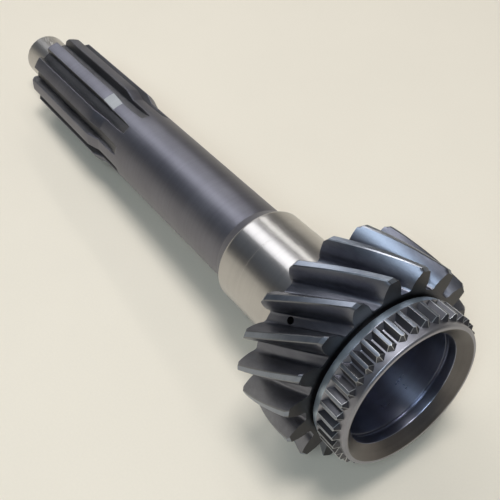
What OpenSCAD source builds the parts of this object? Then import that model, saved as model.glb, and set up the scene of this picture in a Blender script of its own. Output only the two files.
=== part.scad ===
// Main drive gear: a gearbox input shaft with its helical gear and clutch teeth, forged and machined in one piece.
// All stations are measured along the shaft from the end face at the gear end.
// The shaft lies at rest on two gear teeth and on the front end of its splines, gear end toward +X.

/* [Clutch ring] */
// Diameter of the plain rim and of the clutch tooth roots
rim_d = 42.3; // [42:0.1:43]
// Chamfer on the outer edge of the rim
rim_chamfer = 0.4; // [0.1:0.1:0.8]
// Number of clutch teeth
clutch_teeth = 39; // [30:1:42]
// Height of the clutch teeth above the rim
clutch_height = 1.55; // [1.2:0.05:2.2]
// Angle of the clutch tooth nearest the top
clutch_phase = 1.85; // [0:0.05:9]
// Width of the flat on top of a clutch tooth
clutch_land = 0.95; // [0.5:0.05:1.2]
// Width of the floor between two clutch teeth
clutch_floor = 0.5; // [0.3:0.05:0.8]
// Distance from the end face to the points of the clutch teeth, at their roots
clutch_point_at = 1.45; // [1:0.05:2]
// How far the points lean back from root to tip
clutch_point_lean = 0.75; // [0.3:0.05:1]
// Length that the points taper over, at their roots
clutch_point_len = 1; // [0.6:0.05:1.4]
// Distance from the end face to the back ends of the clutch teeth
clutch_back_at = 8.2; // [7:0.1:8.6]
// Slope length behind the floor between two teeth
clutch_runout = 1; // [0.6:0.1:1.4]
// Length of the clutch ring
ring_len = 10.5; // [10:0.1:12]
// Height of the ring's back edge above the rim
ring_back_rise = 0.7; // [0.1:0.05:1.1]

/* [Bearing pocket] */
// Width of the end face between the mouth and the rim
rim_face = 1.2; // [0.8:0.1:1.8]
// Depth of the mouth chamfer
mouth_depth = 2.9; // [1.5:0.1:3.5]
// Depth of the ring groove in the bore
groove_cut = 0.9; // [0.4:0.1:1.4]
// Distance from the end face to the ring groove
groove_at = 5.4; // [4.5:0.1:6]
// Width of the ring groove
groove_w = 0.9; // [0.6:0.1:1.4]
// Diameter of the roller bearing bore
pocket_d = 33.8; // [32:0.1:34.2]
// Thickness of the floor of the bore, up to the face that the front bearing seats against
pocket_floor = 2.3; // [1.5:0.1:6]
// Diameter of an oil hole
oil_hole_d = 2; // [1.5:0.1:2.6]
// Distance from the end face to the oil holes
oil_hole_at = 25.5; // [20:0.5:27]
// Tooth spaces that have an oil hole, counted from the lowest one
oil_hole_spaces = [0, 6, 11];

/* [Helical gear] */
// Number of gear teeth
gear_teeth = 17; // [16:1:20]
// Normal module of the teeth
gear_module = 2.69; // [2.6:0.01:2.75]
// Helix angle at the pitch circle, left hand
helix_angle = 30.9; // [20:0.1:34]
// Normal pressure angle
pressure_angle = 20; // [18:0.5:22]
// Thinning of a tooth at the pitch circle
tooth_thinning = 0.4; // [0.1:0.05:0.6]
// Chamfer along the edges of a tooth tip
tip_chamfer = 0.2; // [0.1:0.05:0.35]
// Chamfer on the ends of the teeth
tooth_end_chamfer = 0.75; // [0.4:0.05:1.2]
// Face width of the gear
gear_len = 20.5; // [16:0.1:22]
// Length of the neck between the ring and the gear
neck_len = 0.8; // [0.6:0.05:2.5]
// Wall of the neck round the bearing pocket
neck_wall = 3.4; // [2.6:0.1:3.8]

/* [Journal] */
// Wall of the shoulder round the bearing pocket; the front bearing seats against it
shoulder_wall = 1.6; // [1.2:0.1:3.6]
// Length of the shoulder
shoulder_len = 2; // [1.5:0.05:3]
// Diameter of the front bearing seat
seat_d = 30; // [29:0.1:31]
// Length of the front bearing seat
seat_len = 19; // [16:0.5:22]
// Corner between the seat and the shoulder
seat_corner = 0.4; // [0.2:0.1:0.8]
// Diameter of the ground land in front of the seat
front_land_d = 29.8; // [28.8:0.1:31]
// Length of the ground land
front_land_len = 9; // [6:0.5:12]
// Length of the taper from the ground land to the body
front_taper_len = 4.2; // [2:0.1:6]

/* [Body and splines] */
// Diameter of the plain body
body_d = 25.3; // [24.5:0.1:26]
// Length of the plain body
body_len = 73.8; // [60:0.5:90]
// Length of the ramp from the body up to the splines
ramp_len = 5.3; // [3:0.1:8]
// Number of splines
spline_teeth = 10; // [6:1:12]
// Diameter over the splines
spline_d = 28.2; // [27.5:0.1:29]
// Diameter at the roots of the splines
spline_root_d = 22.8; // [22:0.1:24]
// Width of a spline
spline_w = 4.4; // [4:0.1:4.8]
// Length of the splined end
spline_len = 47; // [38:0.5:56]
// Angle of the spline nearest the top
spline_phase = -12.7; // [-18:0.1:18]
// Length of the chamfer on the front ends of the splines
spline_chamfer_len = 1.4; // [0.6:0.1:2]
// Height of that chamfer
spline_chamfer_h = 1.1; // [0.6:0.1:1.4]
// Radius of the cutter that ends the spline grooves
cutter_r = 38; // [30:1:45]
// Distance that the grooves reach past the ramp into the body
groove_reach = 12.3; // [11:0.1:16]

/* [Pilot] */
// Diameter of the pilot
pilot_d = 16; // [14:0.1:18]
// Length of the pilot
pilot_len = 18.8; // [14:0.2:24]
// Chamfer on the tip of the pilot
pilot_chamfer = 1.2; // [0.6:0.1:2]
// Diameter of the centre hole's cone at the tip face
centre_mouth_d = 6; // [5:0.1:8]

/* [Hidden] */
$fn = 96;

// Radii
rim_r = rim_d / 2;
clutch_tip_r = rim_r + clutch_height;
ring_back_r = rim_r + ring_back_rise;
body_r = body_d / 2;
spline_r = spline_d / 2;
spline_root_r = spline_root_d / 2;
pilot_r = pilot_d / 2;
pocket_r = pocket_d / 2;
mouth_r = rim_r - rim_face;
neck_r = pocket_r + neck_wall;
shoulder_r = pocket_r + shoulder_wall;
front_land_r = front_land_d / 2;

// Stations along the shaft
gear_at = ring_len + neck_len;
shoulder_at = gear_at + gear_len;
seat_at = shoulder_at + shoulder_len;
front_land_at = seat_at + seat_len;
front_taper_at = front_land_at + front_land_len;
body_at = front_taper_at + front_taper_len;
ramp_at = body_at + body_len;
spline_at = ramp_at + ramp_len;
pilot_at = spline_at + spline_len;
tip_at = pilot_at + pilot_len;
pocket_depth = seat_at - pocket_floor;

// Gear tooth form: an involute in the transverse plane
pitch_r = gear_teeth * gear_module / (2 * cos(helix_angle));
gear_tip_r = pitch_r + gear_module;
gear_root_r = pitch_r - 1.25 * gear_module;
transverse_angle = atan(tan(pressure_angle) / cos(helix_angle));
base_r = pitch_r * cos(transverse_angle);
tooth_pitch = 360 / gear_teeth;
helix_turn = gear_len * tan(helix_angle) / pitch_r * 180 / PI;
flank_from_r = max(base_r, gear_root_r + 0.3 * gear_module);
flank_to_r = gear_tip_r - tip_chamfer;
flank_steps = 4;
helix_steps = 6;
hub_inset = 0.8;
gear_phase = 180 + tooth_pitch / 2;

// Involute function, in degrees
function involute(a) = tan(a) * 180 / PI - a;

// Half the angle that a tooth spans at radius r
function half_tooth(r) =
    90 / gear_teeth - tooth_thinning / (2 * pitch_r) * 180 / PI
    + involute(transverse_angle) - involute(acos(min(1, base_r / r)));

// Half the angle of the land on top of a tooth
land_half = half_tooth(gear_tip_r) - tip_chamfer / gear_tip_r * 180 / PI;

// Half the angle that a tooth spans where its fillet reaches the root circle
fillet_spread = gear_module * 0.3 / gear_root_r * 180 / PI;
root_half = half_tooth(flank_from_r) + fillet_spread;

// One side of a tooth as [radius, half angle], from the root circle to the tip
tooth_side = concat(
    [[gear_root_r, root_half]],
    [[gear_root_r + 0.1 * gear_module, half_tooth(flank_from_r) + 0.35 * fillet_spread]],
    [for (i = [0 : flank_steps])
        let (r = flank_from_r + (flank_to_r - flank_from_r) * i / flank_steps)
        [r, half_tooth(r)]],
    [[gear_tip_r, land_half]]
);
side_points = len(tooth_side);
tooth_outline = concat(
    [for (p = tooth_side) [p[0], -p[1]]],
    [for (i = [side_points - 1 : -1 : 0]) tooth_side[i]]
);

// Rings of a tooth as [station, highest radius], chamfered at both ends
tooth_rings = concat(
    [[gear_at, gear_tip_r - tooth_end_chamfer]],
    [for (i = [0 : helix_steps])
        [gear_at + tooth_end_chamfer + (gear_len - 2 * tooth_end_chamfer) * i / helix_steps, gear_tip_r]],
    [[shoulder_at, gear_tip_r - tooth_end_chamfer]]
);

// Turn of the helix at a station, counted from where the teeth reach full height on the journal side
gear_rest_at = shoulder_at - tooth_end_chamfer;
function helix_at(z) = helix_turn * (gear_rest_at - z) / gear_len;

// Resting attitude: two teeth and the nearest edge of a spline touch the floor
spline_pitch = 360 / spline_teeth;
spline_half = asin(spline_w / spline_d);
spline_front = pilot_at - spline_chamfer_len;
spline_off = abs((180 - spline_phase) / spline_pitch - round((180 - spline_phase) / spline_pitch)) * spline_pitch;
spline_rest_r = spline_r * cos(max(0, spline_off - spline_half));
rest_slope = (gear_tip_r - spline_r) / (spline_front - gear_rest_at);
function gear_reach(z) =
    gear_tip_r * cos(max(0, tooth_pitch / 2 - land_half - helix_at(z))) - rest_slope * (gear_rest_at - z);
gear_rest_r = max([for (i = [0 : 20]) gear_reach(gear_rest_at - gear_len * i / 40)]);
rest_tilt = atan((gear_rest_r - spline_rest_r) / (spline_front - gear_rest_at));
rest_lift = spline_rest_r * cos(rest_tilt) + spline_front * sin(rest_tilt);
rest_x_max = (rim_r - rim_chamfer) * sin(rest_tilt);
rest_x_min = -tip_at * cos(rest_tilt) - (pilot_r - pilot_chamfer) * sin(rest_tilt);
rest_shift = -(rest_x_max + rest_x_min) / 2;

// Turned outline of the whole shaft, as [radius, station]
module turned_blank() {
    seat_r = seat_d / 2;
    ring_peak_r = clutch_tip_r - 0.1;
    gear_mid = (gear_at + shoulder_at) / 2;
    rotate_extrude()
    polygon([
        [0, 0],
        [rim_r - rim_chamfer, 0],
        [rim_r, rim_chamfer],
        [rim_r, clutch_back_at - clutch_runout],
        [ring_peak_r, clutch_back_at],
        [ring_back_r, ring_len],
        [neck_r, ring_len],
        [neck_r, gear_mid],
        [shoulder_r, gear_mid],
        [shoulder_r, seat_at],
        [seat_r + seat_corner, seat_at],
        [seat_r, seat_at + seat_corner],
        [seat_r, front_land_at],
        [front_land_r, front_land_at],
        [front_land_r, front_taper_at],
        [body_r, body_at],
        [body_r, ramp_at],
        [spline_r, spline_at],
        [spline_r, spline_front],
        [spline_r - spline_chamfer_h, pilot_at],
        [pilot_r, pilot_at],
        [pilot_r, tip_at - pilot_chamfer],
        [pilot_r - pilot_chamfer, tip_at],
        [0, tip_at]
    ]);
}

// The helical gear as one solid: the ring of tooth outlines, repeated and turned along the face width
module gear_ring() {
    tooth_points = len(tooth_outline);
    count = gear_teeth * tooth_points;
    last = len(tooth_rings) - 1;
    hub_r = gear_root_r - hub_inset;
    rim = [for (ring = tooth_rings, j = [0 : gear_teeth - 1], p = tooth_outline)
        let (r = min(p[0], ring[1]), a = gear_phase + j * tooth_pitch + p[1] + helix_at(ring[0]))
        [r * cos(a), r * sin(a), ring[0]]];
    hub = [for (z = [gear_at, shoulder_at], j = [0 : gear_teeth - 1])
        let (a = gear_phase + j * tooth_pitch + helix_at(z))
        [hub_r * cos(a), hub_r * sin(a), z]];
    first_hub = (last + 1) * count;
    sides = [for (k = [0 : last - 1], i = [0 : count - 1])
        let (a = k * count + i, b = k * count + (i + 1) % count)
        each [[a, b + count, b], [a, a + count, b + count]]];
    caps = [for (end = [0, 1], j = [0 : gear_teeth - 1])
        let (
            base = end * last * count,
            centre = first_hub + end * gear_teeth + j,
            next_centre = first_hub + end * gear_teeth + (j + 1) % gear_teeth,
            across = [for (i = [0 : tooth_points - 1])
                [centre, base + j * tooth_points + i, base + (j * tooth_points + i + 1) % count]],
            bridge = [centre, base + (j + 1) * tooth_points % count, next_centre]
        )
        each [for (face = concat(across, [bridge])) end == 0 ? face : [face[2], face[1], face[0]]]];
    hub_faces = [
        [for (j = [0 : gear_teeth - 1]) first_hub + j],
        [for (j = [gear_teeth - 1 : -1 : 0]) first_hub + gear_teeth + j]
    ];
    polyhedron(points = concat(rim, hub), faces = concat(sides, caps, hub_faces));
}

// One clutch tooth with a pointed front
module clutch_tooth() {
    clutch_pitch = 360 / clutch_teeth;
    depth = 0.5;
    top_half = clutch_land / 2;
    root_half_w = rim_r * sin(clutch_pitch / 2) - clutch_floor / 2;
    flank = (root_half_w - top_half) / clutch_height;
    base_half = root_half_w + flank * depth;
    lean = clutch_point_lean / clutch_height;
    slant = clutch_point_len / root_half_w;
    base_r_in = rim_r - depth;
    base_point = clutch_point_at - lean * depth;
    top_point = clutch_point_at + clutch_point_lean;
    top_back = clutch_back_at - 0.05;
    base_back = clutch_back_at + 0.8;
    polyhedron(
        points = [
            [base_r_in, 0, base_point],
            [base_r_in, base_half, base_point + slant * base_half],
            [base_r_in, base_half, base_back],
            [base_r_in, -base_half, base_back],
            [base_r_in, -base_half, base_point + slant * base_half],
            [clutch_tip_r, 0, top_point],
            [clutch_tip_r, top_half, top_point + slant * top_half],
            [clutch_tip_r, top_half, top_back],
            [clutch_tip_r, -top_half, top_back],
            [clutch_tip_r, -top_half, top_point + slant * top_half]
        ],
        faces = [
            [0, 1, 2, 3, 4],
            [9, 8, 7, 6, 5],
            [0, 5, 6, 1],
            [1, 6, 7, 2],
            [2, 7, 8, 3],
            [3, 8, 9, 4],
            [4, 9, 5, 0]
        ]
    );
}

module clutch_ring() {
    for (i = [0 : clutch_teeth - 1])
        rotate([0, 0, clutch_phase + i * 360 / clutch_teeth])
        clutch_tooth();
}

// Section of a spline groove as [radius, width], with its sides parallel to the splines beside it
function groove_side(r) =
    let (x = sqrt(r * r - spline_w * spline_w / 4), a = spline_pitch / 2)
    [x * cos(a) + spline_w / 2 * sin(a), x * sin(a) - spline_w / 2 * cos(a)];
groove_top = groove_side(spline_r + 1.4);
groove_foot = groove_side(spline_root_r);
groove_section = [
    [groove_top[0], -groove_top[1]],
    [groove_foot[0], -groove_foot[1]],
    [spline_root_r, 0],
    groove_foot,
    groove_top
];

// One spline groove: straight along the splines, then lifted out of the body by the round cutter
module spline_groove() {
    cut_depth = body_r - spline_root_r;
    lift_len = sqrt(cut_depth * (2 * cutter_r - cut_depth));
    lift_at = ramp_at - groove_reach + lift_len;
    cutter_axis_r = spline_root_r + cutter_r;
    translate([0, 0, lift_at])
    linear_extrude(height = pilot_at + 1 - lift_at)
    polygon(groove_section);
    translate([cutter_axis_r, 0, lift_at])
    rotate([90, 0, 0])
    rotate_extrude()
    polygon([for (p = groove_section) [cutter_axis_r - p[0], p[1]]]);
}

module spline_grooves() {
    for (i = [0 : spline_teeth - 1])
        rotate([0, 0, spline_phase + (i + 0.5) * spline_pitch])
        spline_groove();
}

// The bearing pocket, with its mouth, ring groove, bore and flat floor
module bearing_pocket() {
    groove_r = pocket_r + groove_cut;
    rotate_extrude()
    polygon([
        [0, -1],
        [mouth_r + (mouth_r - pocket_r) / mouth_depth, -1],
        [pocket_r, mouth_depth],
        [pocket_r, groove_at],
        [groove_r, groove_at],
        [groove_r, groove_at + groove_w],
        [pocket_r, groove_at + groove_w],
        [pocket_r, pocket_depth],
        [0, pocket_depth]
    ]);
}

// Oil holes from the floors of tooth spaces into the bearing pocket
module oil_holes() {
    for (space = oil_hole_spaces)
        rotate([0, 0, 180 + helix_at(oil_hole_at) + space * tooth_pitch])
        translate([pocket_r - 1, 0, oil_hole_at])
        rotate([0, 90, 0])
        cylinder(h = gear_tip_r - pocket_r, d = oil_hole_d);
}

// Cone that the lathe centre ran in, in the tip of the pilot
module centre_hole() {
    cone_len = centre_mouth_d / 2 / tan(30);
    translate([0, 0, tip_at])
    rotate_extrude()
    polygon([
        [0, 1],
        [centre_mouth_d / 2, 1],
        [centre_mouth_d / 2, 0],
        [0, -cone_len]
    ]);
}

module shaft() {
    difference() {
        union() {
            turned_blank();
            gear_ring();
            clutch_ring();
        }
        spline_grooves();
        bearing_pocket();
        oil_holes();
        centre_hole();
    }
}

module main_drive_gear() {
    color("dimgray")
    translate([rest_shift, 0, rest_lift])
    rotate([0, -90 - rest_tilt, 0])
    shaft();
}

main_drive_gear();
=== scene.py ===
import math

import bpy
import bmesh
from mathutils import Matrix, Vector


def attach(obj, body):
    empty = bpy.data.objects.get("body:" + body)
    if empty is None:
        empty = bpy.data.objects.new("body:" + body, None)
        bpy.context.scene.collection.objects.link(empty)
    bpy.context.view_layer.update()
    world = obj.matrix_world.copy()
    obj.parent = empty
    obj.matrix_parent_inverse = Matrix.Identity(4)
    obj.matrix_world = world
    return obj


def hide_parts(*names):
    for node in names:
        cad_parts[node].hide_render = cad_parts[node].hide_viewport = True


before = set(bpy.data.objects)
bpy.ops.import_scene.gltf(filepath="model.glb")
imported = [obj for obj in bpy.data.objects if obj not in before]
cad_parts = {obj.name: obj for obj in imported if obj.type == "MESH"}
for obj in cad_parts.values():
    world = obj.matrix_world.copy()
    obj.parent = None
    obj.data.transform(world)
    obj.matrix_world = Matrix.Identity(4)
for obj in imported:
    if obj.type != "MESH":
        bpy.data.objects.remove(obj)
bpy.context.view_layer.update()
bpy.context.scene.view_settings.view_transform = "Standard"

# Sizes
# They are the source's sizes in millimetres. A name that ends in _AT is a station along the shaft, counted
# from the end face of the clutch ring, and one that ends in _R is a radius.
MM = 0.001

RIM_R, RIM_CHAMFER = 21.15, 0.4
CLUTCH_TEETH, CLUTCH_TIP_R, CLUTCH_PHASE = 39, 22.7, 1.85
CLUTCH_LAND, CLUTCH_FLOOR = 0.95, 0.5
CLUTCH_POINT_AT, CLUTCH_POINT_LEAN, CLUTCH_POINT_LEN = 1.45, 0.75, 1.0
CLUTCH_BACK_AT, CLUTCH_RUNOUT = 8.2, 1.0
RING_LEN, RING_BACK_R, NECK_R, NECK_LEN = 10.5, 21.85, 20.3, 0.8

MOUTH_R, MOUTH_DEPTH = 19.95, 2.9
GROOVE_R, GROOVE_AT, GROOVE_W = 17.8, 5.4, 0.9
POCKET_R, POCKET_DEPTH = 16.9, 31.5
OIL_HOLE_R, OIL_HOLE_AT, OIL_HOLE_SPACES = 1.0, 25.5, (0, 6, 11)

GEAR_TEETH, GEAR_MODULE, HELIX, PRESSURE = 17, 2.69, 30.9, 20.0
TOOTH_THINNING, TIP_CHAMFER, TOOTH_END_CHAMFER, GEAR_LEN = 0.4, 0.2, 0.75, 20.5

SHOULDER_R, SHOULDER_LEN = 18.5, 2.0
SEAT_R, SEAT_LEN, SEAT_CORNER = 15.0, 19.0, 0.4
FRONT_LAND_R, FRONT_LAND_LEN, FRONT_TAPER_LEN = 14.9, 9.0, 4.2
BODY_R, BODY_LEN, RAMP_LEN = 12.65, 73.8, 5.3
SPLINES, SPLINE_R, SPLINE_ROOT_R, SPLINE_W, SPLINE_LEN = 10, 14.1, 11.4, 4.4, 47.0
SPLINE_PHASE, SPLINE_CHAMFER_LEN, SPLINE_CHAMFER_H = -12.7, 1.4, 1.1
CUTTER_R, GROOVE_REACH = 38.0, 12.3
PILOT_R, PILOT_LEN, PILOT_CHAMFER = 8.0, 18.8, 1.2
CENTRE_MOUTH_R = 3.0

GEAR_AT = RING_LEN + NECK_LEN
SHOULDER_AT = GEAR_AT + GEAR_LEN
SEAT_AT = SHOULDER_AT + SHOULDER_LEN
FRONT_LAND_AT = SEAT_AT + SEAT_LEN
FRONT_TAPER_AT = FRONT_LAND_AT + FRONT_LAND_LEN
BODY_AT = FRONT_TAPER_AT + FRONT_TAPER_LEN
RAMP_AT = BODY_AT + BODY_LEN
SPLINE_AT = RAMP_AT + RAMP_LEN
PILOT_AT = SPLINE_AT + SPLINE_LEN
TIP_AT = PILOT_AT + PILOT_LEN


def cosd(a):
    return math.cos(math.radians(a))


def sind(a):
    return math.sin(math.radians(a))


def involute(a):
    return math.degrees(math.tan(math.radians(a))) - a


PITCH_R = GEAR_TEETH * GEAR_MODULE / (2 * cosd(HELIX))
GEAR_TIP_R = PITCH_R + GEAR_MODULE
GEAR_ROOT_R = PITCH_R - 1.25 * GEAR_MODULE
TRANSVERSE = math.degrees(math.atan(math.tan(math.radians(PRESSURE)) / cosd(HELIX)))
BASE_R = PITCH_R * cosd(TRANSVERSE)
TOOTH_PITCH = 360 / GEAR_TEETH
HELIX_TURN = math.degrees(GEAR_LEN * math.tan(math.radians(HELIX)) / PITCH_R)
GEAR_PHASE = 180 + TOOTH_PITCH / 2
FLANK_FROM_R = max(BASE_R, GEAR_ROOT_R + 0.3 * GEAR_MODULE)


def half_tooth(r):
    """Half the angle that a tooth spans at radius r, in degrees."""
    return (
        90 / GEAR_TEETH
        - math.degrees(TOOTH_THINNING / (2 * PITCH_R))
        + involute(TRANSVERSE)
        - involute(math.degrees(math.acos(min(1, BASE_R / r))))
    )


GEAR_REST_AT = SHOULDER_AT - TOOTH_END_CHAMFER


def helix_at(s):
    """Turn of the helix at station s, counted from where the teeth reach full height on the journal side."""
    return HELIX_TURN * (GEAR_REST_AT - s) / GEAR_LEN


# The resting attitude, worked out as in the source
SPLINE_PITCH = 360 / SPLINES
SPLINE_FRONT = PILOT_AT - SPLINE_CHAMFER_LEN
SPLINE_HALF = math.degrees(math.asin(SPLINE_W / (2 * SPLINE_R)))
TURNS_TO_FLOOR = (180 - SPLINE_PHASE) / SPLINE_PITCH
SPLINE_OFF = abs(TURNS_TO_FLOOR - round(TURNS_TO_FLOOR)) * SPLINE_PITCH
SPLINE_REST_R = SPLINE_R * cosd(max(0, SPLINE_OFF - SPLINE_HALF))
LAND_HALF = half_tooth(GEAR_TIP_R) - math.degrees(TIP_CHAMFER / GEAR_TIP_R)
REST_SLOPE = (GEAR_TIP_R - SPLINE_R) / (SPLINE_FRONT - GEAR_REST_AT)


def gear_reach(s):
    """How far the tooth nearest the floor reaches down at station s, less what the shaft's tilt lifts it by."""
    off = max(0, TOOTH_PITCH / 2 - LAND_HALF - helix_at(s))
    return GEAR_TIP_R * cosd(off) - REST_SLOPE * (GEAR_REST_AT - s)


REACH_STEPS = 20
GEAR_REST_R = max(gear_reach(GEAR_REST_AT - GEAR_LEN / 2 * i / REACH_STEPS) for i in range(REACH_STEPS + 1))
TILT = math.degrees(math.atan((GEAR_REST_R - SPLINE_REST_R) / (SPLINE_FRONT - GEAR_REST_AT)))
LIFT = SPLINE_REST_R * cosd(TILT) + SPLINE_FRONT * sind(TILT)
X_MAX = (RIM_R - RIM_CHAMFER) * sind(TILT)
X_MIN = -TIP_AT * cosd(TILT) - (PILOT_R - PILOT_CHAMFER) * sind(TILT)
SHIFT = -(X_MAX + X_MIN) / 2
REST = Matrix((
    (-sind(TILT), 0, -cosd(TILT), SHIFT * MM),
    (0, 1, 0, 0),
    (cosd(TILT), 0, -sind(TILT), LIFT * MM),
    (0, 0, 0, 1),
))


def made_object(name, data):
    """An object of this data, put into the scene."""
    obj = bpy.data.objects.new(name, data)
    bpy.context.scene.collection.objects.link(obj)
    return obj


# Camera
# Its place and direction in shaft coordinates, so that it keeps its view of the shaft in any attitude.
CAMERA_AT = Vector((159.569, -90.879, -79.206)) * MM
CAMERA_LOOK = Vector((-0.682611, 0.383596, 0.622010))
CAMERA_UP = Vector((0.728411, 0.425649, 0.536880))
CAMERA_LENS, CAMERA_SENSOR = 58.45, 36

cam_data = bpy.data.cameras.new("camera")
cam_data.lens = CAMERA_LENS
cam_data.sensor_width = CAMERA_SENSOR
cam_data.clip_start = 0.01
cam_data.clip_end = 50
cam = made_object("camera", cam_data)
turned = REST.to_3x3()
look, up = turned @ CAMERA_LOOK, turned @ CAMERA_UP
axes = Matrix((look.cross(up), up, -look)).transposed().to_4x4()
cam.matrix_world = Matrix.Translation(REST @ CAMERA_AT) @ axes
bpy.context.scene.camera = cam


# Materials
def set_ramp(ramp, stops):
    """Fills a colour ramp with (position, colour) stops."""
    (first, first_colour), (last, last_colour) = stops[0], stops[-1]
    ramp.elements[0].position, ramp.elements[0].color = first, (*first_colour, 1)
    ramp.elements[1].position, ramp.elements[1].color = last, (*last_colour, 1)
    for position, colour in stops[1:-1]:
        ramp.elements.new(position).color = (*colour, 1)


class Nodes:
    """A short way to write nodes into a tree. Its textures are read at the given coordinates."""

    def __init__(self, tree, space):
        self.tree = tree
        self.coords = self.add("ShaderNodeTexCoord").outputs[space]

    def add(self, kind, **settings):
        node = self.tree.nodes.new(kind)
        for key, value in settings.items():
            setattr(node, key, value)
        return node

    def link(self, a, b):
        self.tree.links.new(a, b)

    def noise(self, scale, detail, rough, stretch=(1, 1, 1)):
        mapping = self.add("ShaderNodeMapping")
        mapping.inputs["Scale"].default_value = stretch
        self.link(self.coords, mapping.inputs["Vector"])
        noise = self.add("ShaderNodeTexNoise")
        noise.inputs["Scale"].default_value = scale
        noise.inputs["Detail"].default_value = detail
        noise.inputs["Roughness"].default_value = rough
        self.link(mapping.outputs["Vector"], noise.inputs["Vector"])
        return noise.outputs["Fac"]

    def ramp(self, fac, stops):
        r = self.add("ShaderNodeValToRGB")
        set_ramp(r.color_ramp, stops)
        self.link(fac, r.inputs["Fac"])
        return r.outputs["Color"]

    def spread(self, fac, low, high, out_low, out_high):
        m = self.add("ShaderNodeMapRange")
        m.inputs["From Min"].default_value = low
        m.inputs["From Max"].default_value = high
        m.inputs["To Min"].default_value = out_low
        m.inputs["To Max"].default_value = out_high
        self.link(fac, m.inputs["Value"])
        return m.outputs["Result"]

    def math(self, kind, a, b):
        m = self.add("ShaderNodeMath", operation=kind)
        for socket, value in zip(m.inputs, (a, b)):
            if isinstance(value, (int, float)):
                socket.default_value = value
            else:
                self.link(value, socket)
        return m.outputs["Value"]

    def layered(self, *layers):
        """The sum of (share, pattern) layers."""
        parts = [self.math("MULTIPLY", pattern, share) for share, pattern in layers]
        total = parts[0]
        for part in parts[1:]:
            total = self.math("ADD", total, part)
        return total

    def bump(self, height, distance, strength=1.0, normal=None):
        b = self.add("ShaderNodeBump")
        b.inputs["Strength"].default_value = strength
        b.inputs["Distance"].default_value = distance
        self.link(height, b.inputs["Height"])
        if normal is not None:
            self.link(normal, b.inputs["Normal"])
        return b.outputs["Normal"]

    def looked_at(self):
        """Two outputs: 1 for what the camera sees itself, and 1 for what it sees in metal or through glass."""
        path = self.add("ShaderNodeLightPath").outputs
        return path["Is Camera Ray"], self.math("MAXIMUM", path["Is Glossy Ray"], path["Is Transmission Ray"])

    def mix_shaders(self, fac, first, second, output):
        """Mixes two shaders and links them to the tree's output node."""
        mixed = self.add("ShaderNodeMixShader")
        self.link(fac, mixed.inputs["Fac"])
        self.link(first, mixed.inputs[1])
        self.link(second, mixed.inputs[2])
        self.link(mixed.outputs["Shader"], self.tree.nodes[output].inputs["Surface"])


def new_material(name):
    """A material, its nodes on shaft coordinates (z runs along the shaft, in metres) and its shader."""
    material = bpy.data.materials.new(name)
    material.use_nodes = True
    return material, Nodes(material.node_tree, "Object"), material.node_tree.nodes["Principled BSDF"]


# Depth of the tool marks and the fine tooth at a grain of 1, in metres
RING_DEPTH, SPECK_DEPTH = 0.00002, 0.000012
# Turns a stretched reflection from round the shaft to along it
QUARTER_TURN = 0.25


def steel(name, dark, light, rough, grain, metallic=1.0, turned=True, drawn=0.0):
    """Machined steel: two tones in soft patches, fine tool marks, and a fine tooth to the surface.

    Turned steel has its marks round the shaft, and drawn is how far they stretch a reflection along it.
    Ground surfaces have no grain: their marks show in the gloss alone.
    """
    material, n, shader = new_material(name)
    shader.inputs["Metallic"].default_value = metallic
    if drawn:
        shader.inputs["Anisotropic"].default_value = drawn
        shader.inputs["Anisotropic Rotation"].default_value = QUARTER_TURN
    cloud = n.noise(70.0, 4.0, 0.55)
    speck = n.noise(2600.0, 2.0, 0.6)
    rings = n.noise(900.0, 3.0, 0.6, stretch=(0.02, 0.02, 1.0) if turned else (1.0, 1.0, 0.06))
    blend = n.layered((0.12, speck), (0.28, rings), (0.6, cloud))
    n.link(n.ramp(blend, [(0.36, dark), (0.64, light)]), shader.inputs["Base Color"])
    n.link(n.spread(blend, 0.3, 0.7, rough[0], rough[1]), shader.inputs["Roughness"])
    if grain:
        first = n.bump(rings, RING_DEPTH * grain, 0.6)
        n.link(n.bump(speck, SPECK_DEPTH * grain, 0.5, first), shader.inputs["Normal"])
    return material


# Each steel's darker tone, lighter tone, range of roughness and grain
M_BODY = steel("steel_body", (0.160, 0.159, 0.186), (0.206, 0.205, 0.235), (0.43, 0.48), 0.15, drawn=0.4)
M_GROOVE = steel("steel_groove", (0.105, 0.104, 0.112), (0.152, 0.151, 0.160), (0.42, 0.52), 0.8, turned=False)
M_GROUND = steel("steel_ground", (0.430, 0.415, 0.405), (0.500, 0.485, 0.472), (0.28, 0.30), 0, drawn=0.6)
M_FLANK = steel("steel_flank", (0.126, 0.130, 0.156), (0.196, 0.202, 0.232), (0.32, 0.41), 0.5, turned=False)
M_TIP = steel("steel_tip", (0.190, 0.212, 0.255), (0.272, 0.297, 0.346), (0.32, 0.42), 0.6)
M_EDGE = steel("steel_edge", (0.135, 0.140, 0.155), (0.205, 0.210, 0.225), (0.30, 0.38), 0.4)
# Painted shade: the gear's dark steel, made about three times darker again for the end faces, the ring's back and the
# shaft's ends, for the shade they sit in.
M_FACE_SHADE = steel("steel_face_shade", (0.044, 0.043, 0.047), (0.070, 0.068, 0.072), (0.36, 0.44), 0.6)
M_RING = steel("steel_ring", (0.228, 0.228, 0.256), (0.322, 0.321, 0.356), (0.30, 0.39), 0.5)
M_TOOTH = steel("steel_tooth", (0.080, 0.080, 0.089), (0.125, 0.124, 0.135), (0.32, 0.42), 0.5, turned=False)
# Painted highlight: the broken edges of the clutch teeth are coloured near-white, so that they read as lit edges all
# round.
M_EDGE_GLINT = steel("steel_edge_glint", (0.40, 0.41, 0.42), (0.56, 0.57, 0.58), (0.26, 0.34), 0.4)
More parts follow.
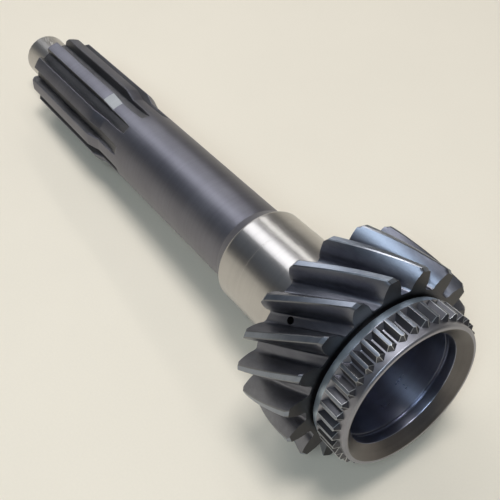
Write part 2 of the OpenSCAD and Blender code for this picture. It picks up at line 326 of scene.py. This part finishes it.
# Painted sheen: the cone behind the clutch teeth is coloured a light blue-grey, far lighter than the ring, for the
# blue-grey reflection it shows.
M_SLOPE_SHEEN = steel("steel_slope_sheen", (0.42, 0.50, 0.58), (0.55, 0.63, 0.71), (0.46, 0.54), 0.4)
M_MOUTH = steel("steel_mouth", (0.115, 0.106, 0.104), (0.166, 0.155, 0.151), (0.30, 0.40), 0.5)
M_BORE = steel("steel_bore", (0.310, 0.326, 0.405), (0.370, 0.387, 0.470), (0.27, 0.29), 0, drawn=0.6)
M_PAINT = steel("paint_mark", (0.32, 0.32, 0.32), (0.44, 0.44, 0.44), (0.5, 0.6), 1.5, metallic=0.0)


# Mesh tools
# A ring of points at the axis has this radius, so that its faces keep a size
AXIS_R = 0.002


def drilled(mesh, cutters):
    """Cuts the cutter meshes out of a closed mesh and returns the result."""
    body = made_object("drilled_body", mesh)
    tools = [made_object("drill", c) for c in cutters]
    for tool in tools:
        cut = body.modifiers.new("cut", "BOOLEAN")
        cut.operation = "DIFFERENCE"
        cut.solver = "EXACT"
        cut.object = tool
    seen = body.evaluated_get(bpy.context.evaluated_depsgraph_get())
    result = bpy.data.meshes.new_from_object(seen)
    for obj in [body] + tools:
        bpy.data.objects.remove(obj)
    return result


def finish_mesh(name, verts, faces, slots, materials, sharp=32.0, cutters=()):
    """A piece in shaft coordinates, laid down in the resting attitude, with its material slots by face."""
    mesh = bpy.data.meshes.new(name)
    mesh.from_pydata([tuple(c * MM for c in v) for v in verts], [], faces)
    for m in materials:
        mesh.materials.append(m)
    mesh.polygons.foreach_set("material_index", slots)
    mesh.update()
    if cutters:
        mesh = drilled(mesh, cutters)
        mesh.name = name
    mesh.shade_smooth()
    mesh.set_sharp_from_angle(angle=math.radians(sharp))
    obj = made_object(name, mesh)
    obj.matrix_world = REST
    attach(obj, "root")
    return obj


def grid_faces(rows, columns, slot_of):
    """Quads between rows of points, closed round the shaft. slot_of(row, column) names each quad's material slot."""
    faces, slots = [], []
    for k in range(rows - 1):
        for i in range(columns):
            j = (i + 1) % columns
            faces.append((k * columns + i, k * columns + j, (k + 1) * columns + j, (k + 1) * columns + i))
            slots.append(slot_of(k, i))
    return faces, slots


def lathe(name, profile, materials, columns=288, sharp=28.0, cutters=()):
    """profile is a list of (radius, station, slot of the band that starts here), closed at the axis at both ends."""
    verts = []
    for r, s, _ in profile:
        r = max(r, AXIS_R)
        for i in range(columns):
            a = 360 * i / columns
            verts.append((r * cosd(a), r * sind(a), s))
    faces, slots = grid_faces(len(profile), columns, lambda k, i: profile[k][2])
    last = (len(profile) - 1) * columns
    faces += [tuple(range(columns))[::-1], tuple(range(last, last + columns))]
    slots += [profile[0][2], profile[-1][2]]
    return finish_mesh(name, verts, faces, slots, materials, sharp, cutters)


def eased(points, size=0.12, steps=3):
    """Rounds each corner of a turned outline by a small edge break, keeping each band's slot."""
    out = [points[0]]
    for before, here, after in zip(points, points[1:], points[2:]):
        a = Vector((before[0] - here[0], before[1] - here[1]))
        b = Vector((after[0] - here[0], after[1] - here[1]))
        cut = min(size, 0.4 * a.length, 0.4 * b.length)
        p = Vector(here[:2]) + a.normalized() * cut
        q = Vector(here[:2]) + b.normalized() * cut
        for i in range(steps + 1):
            t = i / steps
            m = p * (1 - t) ** 2 + 2 * t * (1 - t) * Vector(here[:2]) + q * t**2
            out.append((m.x, m.y, here[2] if i == steps else before[2]))
    out.append(points[-1])
    return out


# Oil holes
HOLE_SIDES, DRILL_SPARE = 40, 3


def hole_cutters(materials, slot):
    """One long round cutter for each oil hole, in shaft coordinates."""
    meshes = []
    for space in OIL_HOLE_SPACES:
        turn = 180 + helix_at(OIL_HOLE_AT) + space * TOOTH_PITCH
        out = Vector((cosd(turn), sind(turn), 0))
        side = Vector((-sind(turn), cosd(turn), 0))
        verts = []
        for r in (POCKET_R - DRILL_SPARE, GEAR_ROOT_R + DRILL_SPARE):
            for i in range(HOLE_SIDES):
                a = 360 * i / HOLE_SIDES
                along = Vector((0, 0, OIL_HOLE_AT + OIL_HOLE_R * sind(a)))
                verts.append((out * r + side * (OIL_HOLE_R * cosd(a)) + along) * MM)
        faces, _ = grid_faces(2, HOLE_SIDES, lambda k, i: slot)
        faces += [tuple(range(HOLE_SIDES))[::-1], tuple(range(HOLE_SIDES, 2 * HOLE_SIDES))]
        mesh = bpy.data.meshes.new("drill")
        mesh.from_pydata(verts, [], faces)
        for m in materials:
            mesh.materials.append(m)
        mesh.polygons.foreach_set("material_index", [slot] * len(faces))
        meshes.append(mesh)
    return meshes


# Clutch ring and bearing pocket
RING, MOUTH, BORE, NECK, SLOPE = 0, 1, 2, 3, 4
CUP_FLOOR_AT = POCKET_DEPTH + 1.0
SLOPE_R = CLUTCH_TIP_R - 0.1
ring_outline = [
    (0, POCKET_DEPTH, BORE),
    (POCKET_R, POCKET_DEPTH, BORE),
    (POCKET_R, GROOVE_AT + GROOVE_W, BORE),
    (GROOVE_R, GROOVE_AT + GROOVE_W, BORE),
    (GROOVE_R, GROOVE_AT, BORE),
    (POCKET_R, GROOVE_AT, BORE),
    (POCKET_R, MOUTH_DEPTH, MOUTH),
    (MOUTH_R, 0, RING),
    (RIM_R - RIM_CHAMFER, 0, RING),
    (RIM_R, RIM_CHAMFER, RING),
    (RIM_R, CLUTCH_BACK_AT - CLUTCH_RUNOUT, RING),
    (SLOPE_R, CLUTCH_BACK_AT, SLOPE),
    (RING_BACK_R, RING_LEN, NECK),
    (NECK_R, RING_LEN, NECK),
    (NECK_R, CUP_FLOOR_AT, NECK),
    (0, CUP_FLOOR_AT, NECK),
]
ring_materials = [M_RING, M_MOUTH, M_BORE, M_FACE_SHADE, M_SLOPE_SHEEN]
lathe("clutch_ring", eased(ring_outline), ring_materials, cutters=hole_cutters(ring_materials, NECK))


# Clutch teeth
TOOTH_SIDE, TOOTH_TOP, TOOTH_EDGE = 0, 1, 2
TOOTH_SUNK, TOOTH_SHORT, TOOTH_SPARE = 0.5, 0.05, 0.8
TOOTH_EDGE_BREAK = 0.09


def clutch_tooth_mesh():
    """One clutch tooth with a pointed front and broken edges, its foot sunk into the ring, in shaft coordinates."""
    rise = CLUTCH_TIP_R - RIM_R
    land = CLUTCH_LAND / 2
    root = RIM_R * sind(180 / CLUTCH_TEETH) - CLUTCH_FLOOR / 2
    base = root + (root - land) / rise * TOOTH_SUNK
    slant = CLUTCH_POINT_LEN / root
    low, high = RIM_R - TOOTH_SUNK, CLUTCH_TIP_R
    low_at = CLUTCH_POINT_AT - CLUTCH_POINT_LEAN / rise * TOOTH_SUNK
    high_at = CLUTCH_POINT_AT + CLUTCH_POINT_LEAN
    high_back, low_back = CLUTCH_BACK_AT - TOOTH_SHORT, CLUTCH_BACK_AT + TOOTH_SPARE
    points = [
        (low, 0, low_at), (low, base, low_at + slant * base), (low, base, low_back),
        (low, -base, low_back), (low, -base, low_at + slant * base),
        (high, 0, high_at), (high, land, high_at + slant * land), (high, land, high_back),
        (high, -land, high_back), (high, -land, high_at + slant * land),
    ]
    faces = [
        (4, 3, 2, 1, 0), (5, 6, 7, 8, 9), (1, 6, 5, 0), (2, 7, 6, 1), (3, 8, 7, 2), (4, 9, 8, 3), (0, 5, 9, 4),
    ]
    bm = bmesh.new()
    verts = [bm.verts.new(p) for p in points]
    for f in faces:
        bm.faces.new([verts[i] for i in f])
    bm.normal_update()
    edges = [e for e in bm.edges if not all(v.co.x < low + 0.01 for v in e.verts)]
    made = bmesh.ops.bevel(bm, geom=edges, offset=TOOTH_EDGE_BREAK, segments=2, profile=0.6, affect="EDGES")
    rounded = set(made["faces"])
    out_verts = [tuple(v.co) for v in bm.verts]
    index = {v: i for i, v in enumerate(bm.verts)}
    out_faces = [tuple(index[v] for v in f.verts) for f in bm.faces]
    out_slots = []
    for f in bm.faces:
        if f in rounded:
            out_slots.append(TOOTH_EDGE)
        elif f.normal.x > 0.9:
            out_slots.append(TOOTH_TOP)
        else:
            out_slots.append(TOOTH_SIDE)
    bm.free()
    return out_verts, out_faces, out_slots


tooth_verts, tooth_faces, tooth_slots = clutch_tooth_mesh()
verts, faces, slots = [], [], []
for k in range(CLUTCH_TEETH):
    a = CLUTCH_PHASE + 360 * k / CLUTCH_TEETH
    start = len(verts)
    verts += [(x * cosd(a) - y * sind(a), x * sind(a) + y * cosd(a), z) for x, y, z in tooth_verts]
    faces += [tuple(start + i for i in f) for f in tooth_faces]
    slots += tooth_slots
finish_mesh("clutch_teeth", verts, faces, slots, [M_TOOTH, M_TIP, M_EDGE_GLINT], 24.0)

# Helical gear
FLANK, TIP, EDGE, END = 0, 1, 2, 3
FLANK_STEPS, FILLET_STEPS, LAND_STEPS, FLOOR_STEPS, HELIX_STEPS = 10, 5, 4, 4, 40
FILLET_WIDTH, FILLET_POWER = 0.3 * GEAR_MODULE, 1.8
INNER_R = NECK_R - 1.2


def tooth_side():
    """One side of a tooth as (radius, half angle, slot of the band above), from the root circle to the land's edge."""
    spread = math.degrees(FILLET_WIDTH / GEAR_ROOT_R)
    root_half = half_tooth(FLANK_FROM_R) + spread
    side = []
    for i in range(FILLET_STEPS):
        t = i / FILLET_STEPS
        r = GEAR_ROOT_R + (FLANK_FROM_R - GEAR_ROOT_R) * t**FILLET_POWER
        side.append((r, root_half - spread * (1 - (1 - t) ** FILLET_POWER), FLANK))
    top = GEAR_TIP_R - TIP_CHAMFER
    for i in range(FLANK_STEPS + 1):
        r = FLANK_FROM_R + (top - FLANK_FROM_R) * i / FLANK_STEPS
        side.append((r, half_tooth(r), FLANK if i < FLANK_STEPS else EDGE))
    side.append((GEAR_TIP_R, LAND_HALF, TIP))
    return side


def tooth_outline():
    """One tooth and the floor after it as (radius, angle, slot of the band that starts here)."""
    side = tooth_side()
    outline = [(r, -a, slot) for r, a, slot in side]
    outline += [(GEAR_TIP_R, LAND_HALF * (2 * i / LAND_STEPS - 1), TIP) for i in range(1, LAND_STEPS)]
    slots_down = [slot for _, _, slot in side[-2::-1]] + [FLANK]
    outline += [(r, a, slot) for (r, a, _), slot in zip(side[::-1], slots_down)]
    foot = side[0][1]
    floor = TOOTH_PITCH - 2 * foot
    outline += [(GEAR_ROOT_R, foot + floor * i / FLOOR_STEPS, FLANK) for i in range(1, FLOOR_STEPS)]
    return outline


outline = tooth_outline()


def gear_row(s, limit):
    """All points round the gear at station s, none of them beyond radius limit."""
    row = []
    for j in range(GEAR_TEETH):
        for r, a, _ in outline:
            turn = GEAR_PHASE + j * TOOTH_PITCH + a + helix_at(s)
            row.append((min(r, limit) * cosd(turn), min(r, limit) * sind(turn), s))
    return row


end_limit = GEAR_TIP_R - TOOTH_END_CHAMFER
full_len = GEAR_LEN - 2 * TOOTH_END_CHAMFER
gear_rows = [gear_row(GEAR_AT, INNER_R), gear_row(GEAR_AT, end_limit)]
for i in range(HELIX_STEPS + 1):
    gear_rows.append(gear_row(GEAR_AT + TOOTH_END_CHAMFER + full_len * i / HELIX_STEPS, GEAR_TIP_R))
gear_rows += [gear_row(SHOULDER_AT, end_limit), gear_row(SHOULDER_AT, INNER_R)]
columns = GEAR_TEETH * len(outline)
end_bands = (0, len(gear_rows) - 2)
faces, slots = grid_faces(len(gear_rows), columns, lambda k, i: END if k in end_bands else outline[i % len(outline)][2])
last = (len(gear_rows) - 1) * columns
for i in range(columns):
    j = (i + 1) % columns
    faces.append((i, last + i, last + j, j))
    slots.append(END)
verts = [p for row in gear_rows for p in row]
gear_materials = [M_FLANK, M_TIP, M_EDGE, M_FACE_SHADE]
finish_mesh("helical_gear", verts, faces, slots, gear_materials, 26.0, hole_cutters(gear_materials, END))

# Shaft
PLAIN, GROUND, SPLINE_LAND, SPLINE_SIDE, SHAFT_END = 0, 1, 2, 3, 4
# The round cutter lifts out of the body over this length, from this station on
LIFT_LEN = math.sqrt((BODY_R - SPLINE_ROOT_R) * (2 * CUTTER_R - (BODY_R - SPLINE_ROOT_R)))
LIFT_AT = RAMP_AT - GROOVE_REACH + LIFT_LEN
CUTTER_AXIS = SPLINE_ROOT_R + CUTTER_R
# Where the front piece ends, where the grooves' rows start, and a station with no groove
FRONT_PIECE_AT = BODY_AT + 30
RUNOUT_FROM = RAMP_AT - GROOVE_REACH - 1
UNCUT_AT = RAMP_AT - GROOVE_REACH - 5
# Broken edge of a spline, how far the shoulder is sunk into the gear, and two small steps of the outline
EDGE_BREAK, SHOULDER_TUCK, LAND_STEP_LEN, PILOT_STEP = 0.18, 0.12, 0.1, 0.01
CENTRE_CONE = 30
# A quad this far below the turned outline has the groove's finish
CUT_SHOWS = 0.15
# Rows along the run-out, the splines and their front chamfer
RUNOUT_STEPS, SPLINE_STEPS, FRONT_STEPS = 70, 8, 3
# Points across a groove's floor and wall and across a spline's top, and degrees between them where nothing is cut
FOOT_STEPS, WALL_STOPS, SPLINE_TOP_STEPS, UNCUT_STEP = 4, (0.33, 0.66, 1.0), 10, 0.4
# Halvings of the range in the search for the wall's top
SEARCH_STEPS, SEARCH_SPARE = 40, 1.6


def outer_radius(s):
    """Radius of the turned outline along the body, the ramp, the splines and their front chamfer."""
    if s <= RAMP_AT:
        return BODY_R
    if s < SPLINE_AT:
        return BODY_R + (SPLINE_R - BODY_R) * (s - RAMP_AT) / RAMP_LEN
    if s <= SPLINE_FRONT:
        return SPLINE_R
    return SPLINE_R - SPLINE_CHAMFER_H * (s - SPLINE_FRONT) / SPLINE_CHAMFER_LEN


def lifted(x, s):
    """Where the cutter leaves a point of the groove's section, as it lifts out of the body."""
    away = max(0.0, LIFT_AT - s)
    return CUTTER_AXIS - math.sqrt((CUTTER_AXIS - x) ** 2 - away**2)


def wall_point(r):
    """A point of the spline's side at radius r, in the frame of the groove beside it."""
    x = math.sqrt(r * r - SPLINE_W**2 / 4)
    a = SPLINE_PITCH / 2
    return x * cosd(a) + SPLINE_W / 2 * sind(a), x * sind(a) - SPLINE_W / 2 * cosd(a)


def polar(x, y):
    """Radius and angle of a point, the angle in degrees."""
    return math.hypot(x, y), math.degrees(math.atan2(y, x))


FOOT_ANGLE = polar(*wall_point(SPLINE_ROOT_R))[1]


def wall_top(s, top):
    """Where the groove's side meets the turned outline at station s, as a radius in the uncut section."""
    low, high = SPLINE_ROOT_R, SPLINE_R + SEARCH_SPARE
    for _ in range(SEARCH_STEPS):
        middle = (low + high) / 2
        x, y = wall_point(middle)
        if math.hypot(lifted(x, s), y) < top:
            low = middle
        else:
            high = middle
    return low


def groove_half(s):
    """Half of a groove's section at station s as (radius, angle from the groove's middle), from its middle outward."""
    top = outer_radius(s)
    points = []
    for i in range(FOOT_STEPS + 1):
        a = FOOT_ANGLE * i / FOOT_STEPS
        r, turn = polar(lifted(SPLINE_ROOT_R * cosd(a), s), SPLINE_ROOT_R * sind(a))
        points.append((r, turn) if r < top else (top, a))
    foot_r = points[-1][0]
    if foot_r >= top:
        return points + [(top, FOOT_ANGLE + UNCUT_STEP * i) for i in range(1, len(WALL_STOPS) + 2)]
    reach = wall_top(s, top) - SPLINE_ROOT_R
    for t in WALL_STOPS:
        x, y = wall_point(SPLINE_ROOT_R + reach * t)
        points.append(polar(lifted(x, s), y))
    edge = min(EDGE_BREAK, 0.5 * (top - foot_r))
    r, a = points[-1]
    points[-1] = (r - edge, a)
    points.append((top, a + math.degrees(edge / top)))
    return points


def shaft_row(s, radius=None):
    """All points round the shaft at station s; with a radius the section is plain."""
    half = groove_half(UNCUT_AT if radius else s)
    land_from = half[-1][1]
    land_step = (SPLINE_PITCH - 2 * land_from) / SPLINE_TOP_STEPS
    section = [(r, -a) for r, a in half[:0:-1]] + half
    section += [(outer_radius(s), land_from + land_step * i) for i in range(1, SPLINE_TOP_STEPS)]
    row = []
    for j in range(SPLINES):
        middle = SPLINE_PHASE + (j + 0.5) * SPLINE_PITCH
        for r, a in section:
            r = radius or r
            row.append((r * cosd(middle + a), r * sind(middle + a), s))
    return row


rows, row_slots = [], []


def add_row(s, slot, radius=None):
    """Adds a row of points, and the slot of the band after it."""
    rows.append(shaft_row(s, radius))
    row_slots.append((slot, s))


start_outline = eased([
    (AXIS_R, SHOULDER_AT - SHOULDER_TUCK, PLAIN),
    (SHOULDER_R, SHOULDER_AT - SHOULDER_TUCK, PLAIN),
    (SHOULDER_R, SEAT_AT, PLAIN),
    (SEAT_R + SEAT_CORNER, SEAT_AT, GROUND),
    (SEAT_R, SEAT_AT + SEAT_CORNER, GROUND),
    (SEAT_R, FRONT_LAND_AT, GROUND),
    (FRONT_LAND_R, FRONT_LAND_AT + LAND_STEP_LEN, GROUND),
    (FRONT_LAND_R, FRONT_TAPER_AT, PLAIN),
    (BODY_R, BODY_AT, PLAIN),
    (BODY_R, FRONT_PIECE_AT, PLAIN),
], 0.35, 4)
end_outline = eased([
    (PILOT_R + PILOT_STEP, PILOT_AT, GROUND),
    (PILOT_R, PILOT_AT + PILOT_STEP, GROUND),
    (PILOT_R, TIP_AT - PILOT_CHAMFER, GROUND),
    (PILOT_R - PILOT_CHAMFER, TIP_AT, SHAFT_END),
    (CENTRE_MOUTH_R, TIP_AT, SHAFT_END),
    (AXIS_R, TIP_AT - CENTRE_MOUTH_R / math.tan(math.radians(CENTRE_CONE)), SHAFT_END),
], 0.25, 3)

for r, s, slot in start_outline:
    add_row(s, slot, r)
body_start = len(rows) - 1
for i in range(RUNOUT_STEPS + 1):
    add_row(RUNOUT_FROM + (SPLINE_AT - RUNOUT_FROM) * i / RUNOUT_STEPS, SPLINE_LAND)
for i in range(1, SPLINE_STEPS + 1):
    add_row(SPLINE_AT + (SPLINE_FRONT - SPLINE_AT) * i / SPLINE_STEPS, SPLINE_LAND)
for i in range(1, FRONT_STEPS + 1):
    add_row(SPLINE_FRONT + SPLINE_CHAMFER_LEN * i / FRONT_STEPS, SPLINE_LAND if i < FRONT_STEPS else SHAFT_END)
pilot_start = len(rows) - 1
for r, s, slot in end_outline:
    add_row(s, slot, r)

columns = len(rows[0])
per_spline = columns // SPLINES
groove_columns = 2 * len(groove_half(SPLINE_AT)) - 2


def shaft_slot(k, i):
    """The material slot of the quad after row k and column i."""
    slot, s = row_slots[k]
    if slot != SPLINE_LAND:
        return slot
    if i % per_spline >= groove_columns:
        return PLAIN
    highest = max(math.hypot(*rows[k][i][:2]), math.hypot(*rows[k + 1][i][:2]))
    return SPLINE_SIDE if outer_radius(s) - highest > CUT_SHOWS else PLAIN


def shaft_piece(name, first, last):
    """The shaft between two of its rows, both included."""
    verts = [p for row in rows[first:last + 1] for p in row]
    faces, slots = grid_faces(last + 1 - first, columns, lambda k, i: shaft_slot(first + k, i))
    return finish_mesh(name, verts, faces, slots, [M_BODY, M_GROUND, M_BODY, M_GROOVE, M_FACE_SHADE], 26.0)


shaft_piece("shaft_front", 0, body_start)
body = shaft_piece("shaft_body", body_start, pilot_start)
shaft_piece("shaft_pilot", pilot_start, len(rows) - 1)
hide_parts("main_drive_gear")

# Paint mark: from one station to another on a spline's top, over this share of its width
MARK_FROM, MARK_TO, MARK_PROUD, MARK_SHARE = 139.9, 145.4, 0.03, 0.93
MARK_ROWS, MARK_COLUMNS = 14, 12
verts, faces = [], []
for k in range(MARK_ROWS + 1):
    s = MARK_FROM + (MARK_TO - MARK_FROM) * k / MARK_ROWS
    r = outer_radius(s) + MARK_PROUD
    for i in range(MARK_COLUMNS + 1):
        a = SPLINE_PHASE + SPLINE_HALF * MARK_SHARE * (2 * i / MARK_COLUMNS - 1)
        verts.append((r * cosd(a), r * sind(a), s))
for k in range(MARK_ROWS):
    for i in range(MARK_COLUMNS):
        a = k * (MARK_COLUMNS + 1) + i
        faces.append((a, a + 1, a + MARK_COLUMNS + 2, a + MARK_COLUMNS + 1))
finish_mesh("paint_mark", verts, faces, [0] * len(faces), [M_PAINT])

# Floor and light
FLOOR_COLOUR = (0.825, 0.740, 0.605)
BACKDROP_COLOUR = (0.770, 0.735, 0.645)
FLOOR_REACH, BACKDROP_FROM, BACKDROP_FULL = 2.5, 0.5, 1.2


def floor_material():
    """Pale paper round the object, which turns into the plain backdrop further off."""
    material, n, shader = new_material("floor_paper")
    fibre = n.noise(1400.0, 3.0, 0.7)
    blend = n.layered((0.6, n.noise(9.0, 4.0, 0.6)), (0.4, fibre))
    dark = tuple(c * 0.94 for c in FLOOR_COLOUR)
    n.link(n.ramp(blend, [(0.3, dark), (0.7, FLOOR_COLOUR)]), shader.inputs["Base Color"])
    shader.inputs["Roughness"].default_value = 0.75
    n.link(n.bump(fibre, 0.00004, 0.35), shader.inputs["Normal"])
    away = n.add("ShaderNodeVectorMath", operation="LENGTH")
    n.link(n.coords, away.inputs[0])
    far = n.spread(away.outputs["Value"], BACKDROP_FROM, BACKDROP_FULL, 0.0, 1.0)
    plain = n.add("ShaderNodeEmission")
    plain.inputs["Color"].default_value = (*BACKDROP_COLOUR, 1)
    shows = n.math("MULTIPLY", far, n.math("MAXIMUM", *n.looked_at()))
    n.mix_shaders(shows, shader.outputs["BSDF"], plain.outputs["Emission"], "Material Output")
    return material


mesh = bpy.data.meshes.new("floor")
corners = [(x * FLOOR_REACH, y * FLOOR_REACH, 0) for x, y in ((-1, -1), (1, -1), (1, 1), (-1, 1))]
mesh.from_pydata(corners, [], [(0, 1, 2, 3)])
mesh.materials.append(floor_material())
made_object("floor", mesh)

# The room is dim on the camera's side and brighter behind the shaft. Positions are angles from -90 degrees,
# level with the camera's side, over the zenith at 0 to +90 degrees, level with the far side.
ROOM_STOPS = [
    (-72, (0.105, 0.107, 0.115)),
    (-50, (0.140, 0.155, 0.190)),
    (-30, (0.240, 0.265, 0.310)),
    (25, (0.270, 0.280, 0.290)),
    (36, (0.520, 0.520, 0.510)),
    (58, (0.500, 0.495, 0.480)),
    (68, (0.360, 0.350, 0.330)),
    (90, (0.340, 0.320, 0.280)),
]
ROOM_STRENGTH = 0.47
BACKDROP_TOP = 0.08


def light_room():
    """The camera sees the backdrop. Metal mirrors it near the horizon, and the room above it."""
    world = bpy.data.worlds.new("room")
    bpy.context.scene.world = world
    world.use_nodes = True
    n = Nodes(world.node_tree, "Generated")
    split = n.add("ShaderNodeSeparateXYZ")
    n.link(n.coords, split.inputs["Vector"])
    lean = n.math("ARCTAN2", split.outputs["Y"], split.outputs["Z"])
    room = n.tree.nodes["Background"]
    stops = [((angle + 90) / 180, colour) for angle, colour in ROOM_STOPS]
    n.link(n.ramp(n.spread(lean, -math.pi / 2, math.pi / 2, 0.0, 1.0), stops), room.inputs["Color"])
    room.inputs["Strength"].default_value = ROOM_STRENGTH
    backdrop = n.add("ShaderNodeBackground")
    backdrop.inputs["Color"].default_value = (*BACKDROP_COLOUR, 1)
    backdrop.inputs["Strength"].default_value = 1.0
    seen, mirrored = n.looked_at()
    low = n.spread(split.outputs["Z"], BACKDROP_TOP, 2 * BACKDROP_TOP, 1.0, 0.0)
    shows = n.math("MAXIMUM", seen, n.math("MULTIPLY", mirrored, low))
    n.mix_shaders(shows, room.outputs["Background"], backdrop.outputs["Background"], "World Output")


light_room()


def lamp(name, at, aim_at, size, energy, colour):
    """A rectangular lamp at one point, aimed at another."""
    data = bpy.data.lights.new(name, "AREA")
    data.shape = "RECTANGLE"
    data.size, data.size_y = size
    data.energy = energy
    data.color = colour
    obj = made_object(name, data)
    obj.location = at
    obj.rotation_mode = "QUATERNION"
    obj.rotation_quaternion = (Vector(aim_at) - Vector(at)).to_track_quat("-Z", "Y")


lamp("key", (0.11, 0.03, 1.1), (0, 0, 0), (0.30, 0.32), 5.7, (0.98, 0.98, 1.0))
lamp("ceiling", (-1.15, 0.02, 1.15), (-1.15, 0.02, 0), (1.5, 0.6), 7.5, (0.97, 0.98, 1.01))
lamp("strip", (-1.4, 0.75, 1.0), (-1.4, 0, 0), (1.8, 0.06), 3.6, (1.0, 0.99, 0.97))
lamp("window", (0.47, -0.61, 0.98), (0.06, 0, 0.03), (0.28, 0.46), 5.2, (0.74, 0.91, 1.04))
